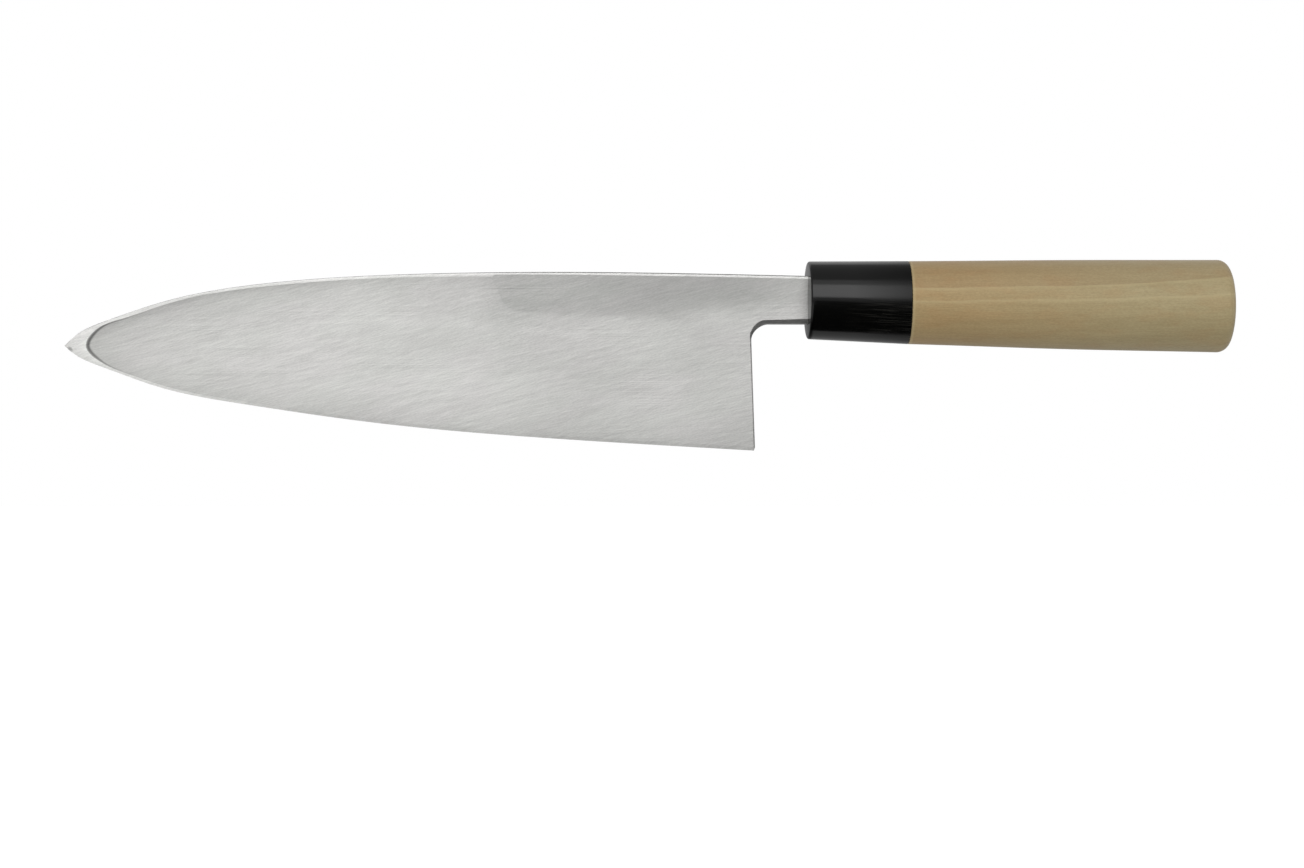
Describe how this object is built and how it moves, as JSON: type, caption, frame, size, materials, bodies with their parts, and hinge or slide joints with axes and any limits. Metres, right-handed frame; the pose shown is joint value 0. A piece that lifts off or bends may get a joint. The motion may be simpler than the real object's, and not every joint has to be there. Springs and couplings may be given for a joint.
{
  "type": "deba knife",
  "caption": "Heavy single-bevel kitchen knife: hollow-backed laminated blade on a tang in an oval wooden handle with a black ferrule.",
  "frame": {"origin": "centre of the ferrule's front face, where the neck of the blade enters the handle", "axes": "+X along the handle from the ferrule to the butt, so the tip points to -X; +Z from the cutting edge up to the spine; the flat, hollow-ground back faces -Y and the bevelled front faces +Y"},
  "size_m": [0.3798, 0.0266, 0.0623],
  "materials": {
    "hard_steel": "fine ground, matt with a faint slanting grain",
    "soft_iron": "fine ground, lengthwise grain",
    "black_horn": "polished black horn or horn-like plastic, with faint lengthwise streaks",
    "magnolia_wood": "bare sanded magnolia wood, fine lengthwise grain"
  },
  "bodies": {
    "root": {"hard_steel_layer": "hard_steel", "soft_iron_layer": "soft_iron", "ferrule": "black_horn", "handle": "magnolia_wood"}
  },
  "joints": []
}
